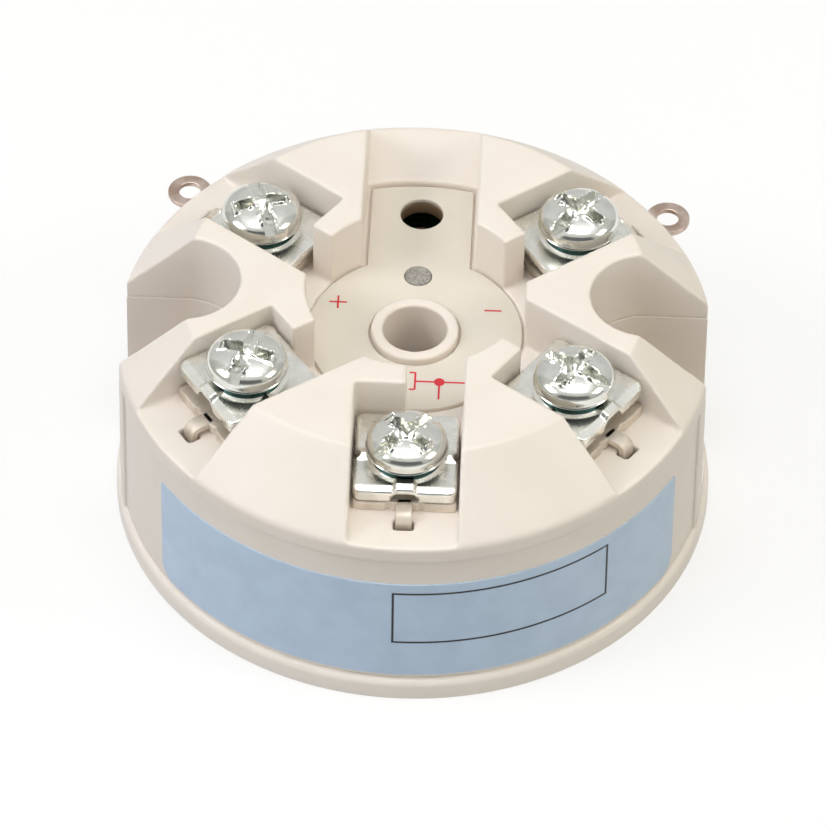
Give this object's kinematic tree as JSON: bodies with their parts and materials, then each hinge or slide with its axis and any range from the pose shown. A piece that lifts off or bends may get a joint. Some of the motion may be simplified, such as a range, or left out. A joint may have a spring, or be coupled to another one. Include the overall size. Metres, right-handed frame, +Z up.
{
  "type": "temperature transmitter",
  "caption": "Round head-mounted temperature transmitter with clamp screw terminals in radial pockets, two fixing slots, a sensor tube and two test eyelets.",
  "frame": {"origin": "centre of the underside of the base disc", "axes": "+Z up out of the terminals, along the sensor tube; -Y towards the front terminal, +X towards the right-hand fixing slot"},
  "size_m": [0.043, 0.043, 0.0213],
  "materials": {
    "ivory_housing": "satin",
    "ivory_case": "satin",
    "ivory_base": "satin",
    "face_film": "matte",
    "blue_label": "satin",
    "zinc_screw": "bright zinc",
    "zinc_clamp": "bright zinc",
    "tinned_plate": "tinned",
    "brass_bush": "bright",
    "tinned_lug": "tinned",
    "board_green": "satin",
    "chip_black": "matte",
    "capacitor_tan": "matte",
    "resistor_black": "satin",
    "switch_black": "matte",
    "button_brown": "matte",
    "led_white": "gloss",
    "pipe_grey": "gloss"
  },
  "bodies": {
    "housing": {"upper_housing": "ivory_housing", "lower_case": "ivory_case", "base_cover": "ivory_base", "face_plate": "face_film", "side_label": "blue_label", "terminal_plate_front": "tinned_plate", "terminal_plate_front_right": "tinned_plate", "terminal_plate_back_right": "tinned_plate", "terminal_plate_back_left": "tinned_plate", "terminal_plate_front_left": "tinned_plate", "threaded_bushes": "brass_bush", "test_lug_right": "tinned_lug", "test_lug_left": "tinned_lug", "circuit_board": "board_green", "microcontroller": "chip_black", "converter_chip": "chip_black", "output_transistor": "chip_black", "capacitors": "capacitor_tan", "resistors": "resistor_black", "switch_body": "switch_black", "status_led": "led_white", "light_pipe": "pipe_grey"},
    "clamp_front": {"clamp_plate_front": "zinc_clamp"},
    "screw_front": {"clamp_screw_front": "zinc_screw"},
    "clamp_front_right": {"clamp_plate_front_right": "zinc_clamp"},
    "screw_front_right": {"clamp_screw_front_right": "zinc_screw"},
    "clamp_back_right": {"clamp_plate_back_right": "zinc_clamp"},
    "screw_back_right": {"clamp_screw_back_right": "zinc_screw"},
    "clamp_back_left": {"clamp_plate_back_left": "zinc_clamp"},
    "screw_back_left": {"clamp_screw_back_left": "zinc_screw"},
    "clamp_front_left": {"clamp_plate_front_left": "zinc_clamp"},
    "screw_front_left": {"clamp_screw_front_left": "zinc_screw"},
    "button": {"push_button": "button_brown"}
  },
  "joints": [
    {"name": "clamp_lift_front", "type": "slide", "parent": "housing", "child": "clamp_front", "axis": [0, 0, 1], "range_m": [-0.00005, 0.00275]},
    {"name": "screw_turn_front", "type": "hinge", "parent": "clamp_front", "child": "screw_front", "pos_m": [0, -0.0141, 0.018], "axis": [0, 0, 1], "range_deg": [-37, 1981]},
    {"name": "clamp_lift_front_right", "type": "slide", "parent": "housing", "child": "clamp_front_right", "axis": [0, 0, 1], "range_m": [-0.0011, 0.0017]},
    {"name": "screw_turn_front_right", "type": "hinge", "parent": "clamp_front_right", "child": "screw_front_right", "pos_m": [0.01155, -0.00809, 0.018], "axis": [0, 0, 1], "range_deg": [-793, 1225]},
    {"name": "clamp_lift_back_right", "type": "slide", "parent": "housing", "child": "clamp_back_right", "axis": [0, 0, 1], "range_m": [-0.0007, 0.0021]},
    {"name": "screw_turn_back_right", "type": "hinge", "parent": "clamp_back_right", "child": "screw_back_right", "pos_m": [0.01141, 0.00829, 0.018], "axis": [0, 0, 1], "range_deg": [-505, 1513]},
    {"name": "clamp_lift_back_left", "type": "slide", "parent": "housing", "child": "clamp_back_left", "axis": [0, 0, 1], "range_m": [-0.0001, 0.0027]},
    {"name": "screw_turn_back_left", "type": "hinge", "parent": "clamp_back_left", "child": "screw_back_left", "pos_m": [-0.01141, 0.00829, 0.018], "axis": [0, 0, 1], "range_deg": [-73, 1945]},
    {"name": "clamp_lift_front_left", "type": "slide", "parent": "housing", "child": "clamp_front_left", "axis": [0, 0, 1], "range_m": [-0.00145, 0.00135]},
    {"name": "screw_turn_front_left", "type": "hinge", "parent": "clamp_front_left", "child": "screw_front_left", "pos_m": [-0.01155, -0.00809, 0.018], "axis": [0, 0, 1], "range_deg": [-1045, 973]},
    {"name": "button_press", "type": "slide", "parent": "housing", "child": "button", "axis": [0, 0, -1], "range_m": [0, 0.0003], "stiffness_N_per_m": 300}
  ],
  "couplings": [
    {"joint": "screw_turn_front", "follows": "clamp_lift_front", "rad_per_m": 12566},
    {"joint": "screw_turn_front_right", "follows": "clamp_lift_front_right", "rad_per_m": 12566},
    {"joint": "screw_turn_back_right", "follows": "clamp_lift_back_right", "rad_per_m": 12566},
    {"joint": "screw_turn_back_left", "follows": "clamp_lift_back_left", "rad_per_m": 12566},
    {"joint": "screw_turn_front_left", "follows": "clamp_lift_front_left", "rad_per_m": 12566}
  ]
}
